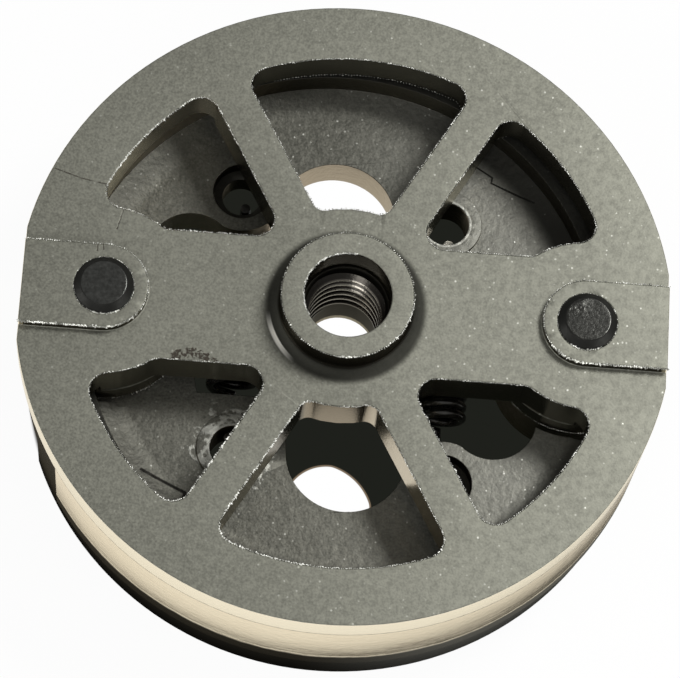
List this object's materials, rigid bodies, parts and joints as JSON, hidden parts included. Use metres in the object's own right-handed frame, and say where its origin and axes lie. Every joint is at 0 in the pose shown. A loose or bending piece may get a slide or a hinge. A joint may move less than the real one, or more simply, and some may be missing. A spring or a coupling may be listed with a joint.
{
  "type": "centrifugal clutch",
  "caption": "Round two-shoe centrifugal clutch: a windowed carrier plate with a threaded hub, two swinging shoes on pins and two tension springs.",
  "frame": {"origin": "on the bore axis, at the height of the shoes' lowest faces", "axes": "+Z along the bore towards the raised boss and the pin heads, +X from the bore axis to the right pin"},
  "size_m": [0.0748, 0.076, 0.0266],
  "materials": {
    "carrier_steel": "sintered, dull, with a turned rim",
    "pin_steel": "black oxide",
    "washer_steel": "plain",
    "shoe_steel": "cast, with a ground friction face",
    "spring_steel": "oiled",
    "clip_steel": "phosphated"
  },
  "bodies": {
    "carrier": {"carrier": "carrier_steel", "pin_left": "pin_steel", "pin_right": "pin_steel", "shim_left": "washer_steel", "shim_right": "washer_steel", "washer_left": "washer_steel", "washer_right": "washer_steel", "clip_left": "clip_steel", "clip_right": "clip_steel", "spring_left": "spring_steel", "spring_right": "spring_steel"},
    "upper_shoe": {"shoe_upper": "shoe_steel", "arm_upper": "shoe_steel"},
    "lower_shoe": {"shoe_lower": "shoe_steel", "arm_lower": "shoe_steel"}
  },
  "joints": [
    {"name": "upper_shoe_swing", "type": "hinge", "parent": "carrier", "child": "upper_shoe", "pos_m": [0.0279, 0, 0.01], "axis": [0, 0, -1], "range_deg": [0, 2.5], "stiffness_Nm_per_rad": 11.5, "springref_deg": -5.16, "deforming": ["spring_left", "spring_right"]},
    {"name": "lower_shoe_swing", "type": "hinge", "parent": "carrier", "child": "lower_shoe", "pos_m": [-0.0279, 0, 0.01], "axis": [0, 0, -1], "range_deg": [0, 2.5], "stiffness_Nm_per_rad": 11.5, "springref_deg": -5.16, "deforming": ["spring_left", "spring_right"]}
  ]
}
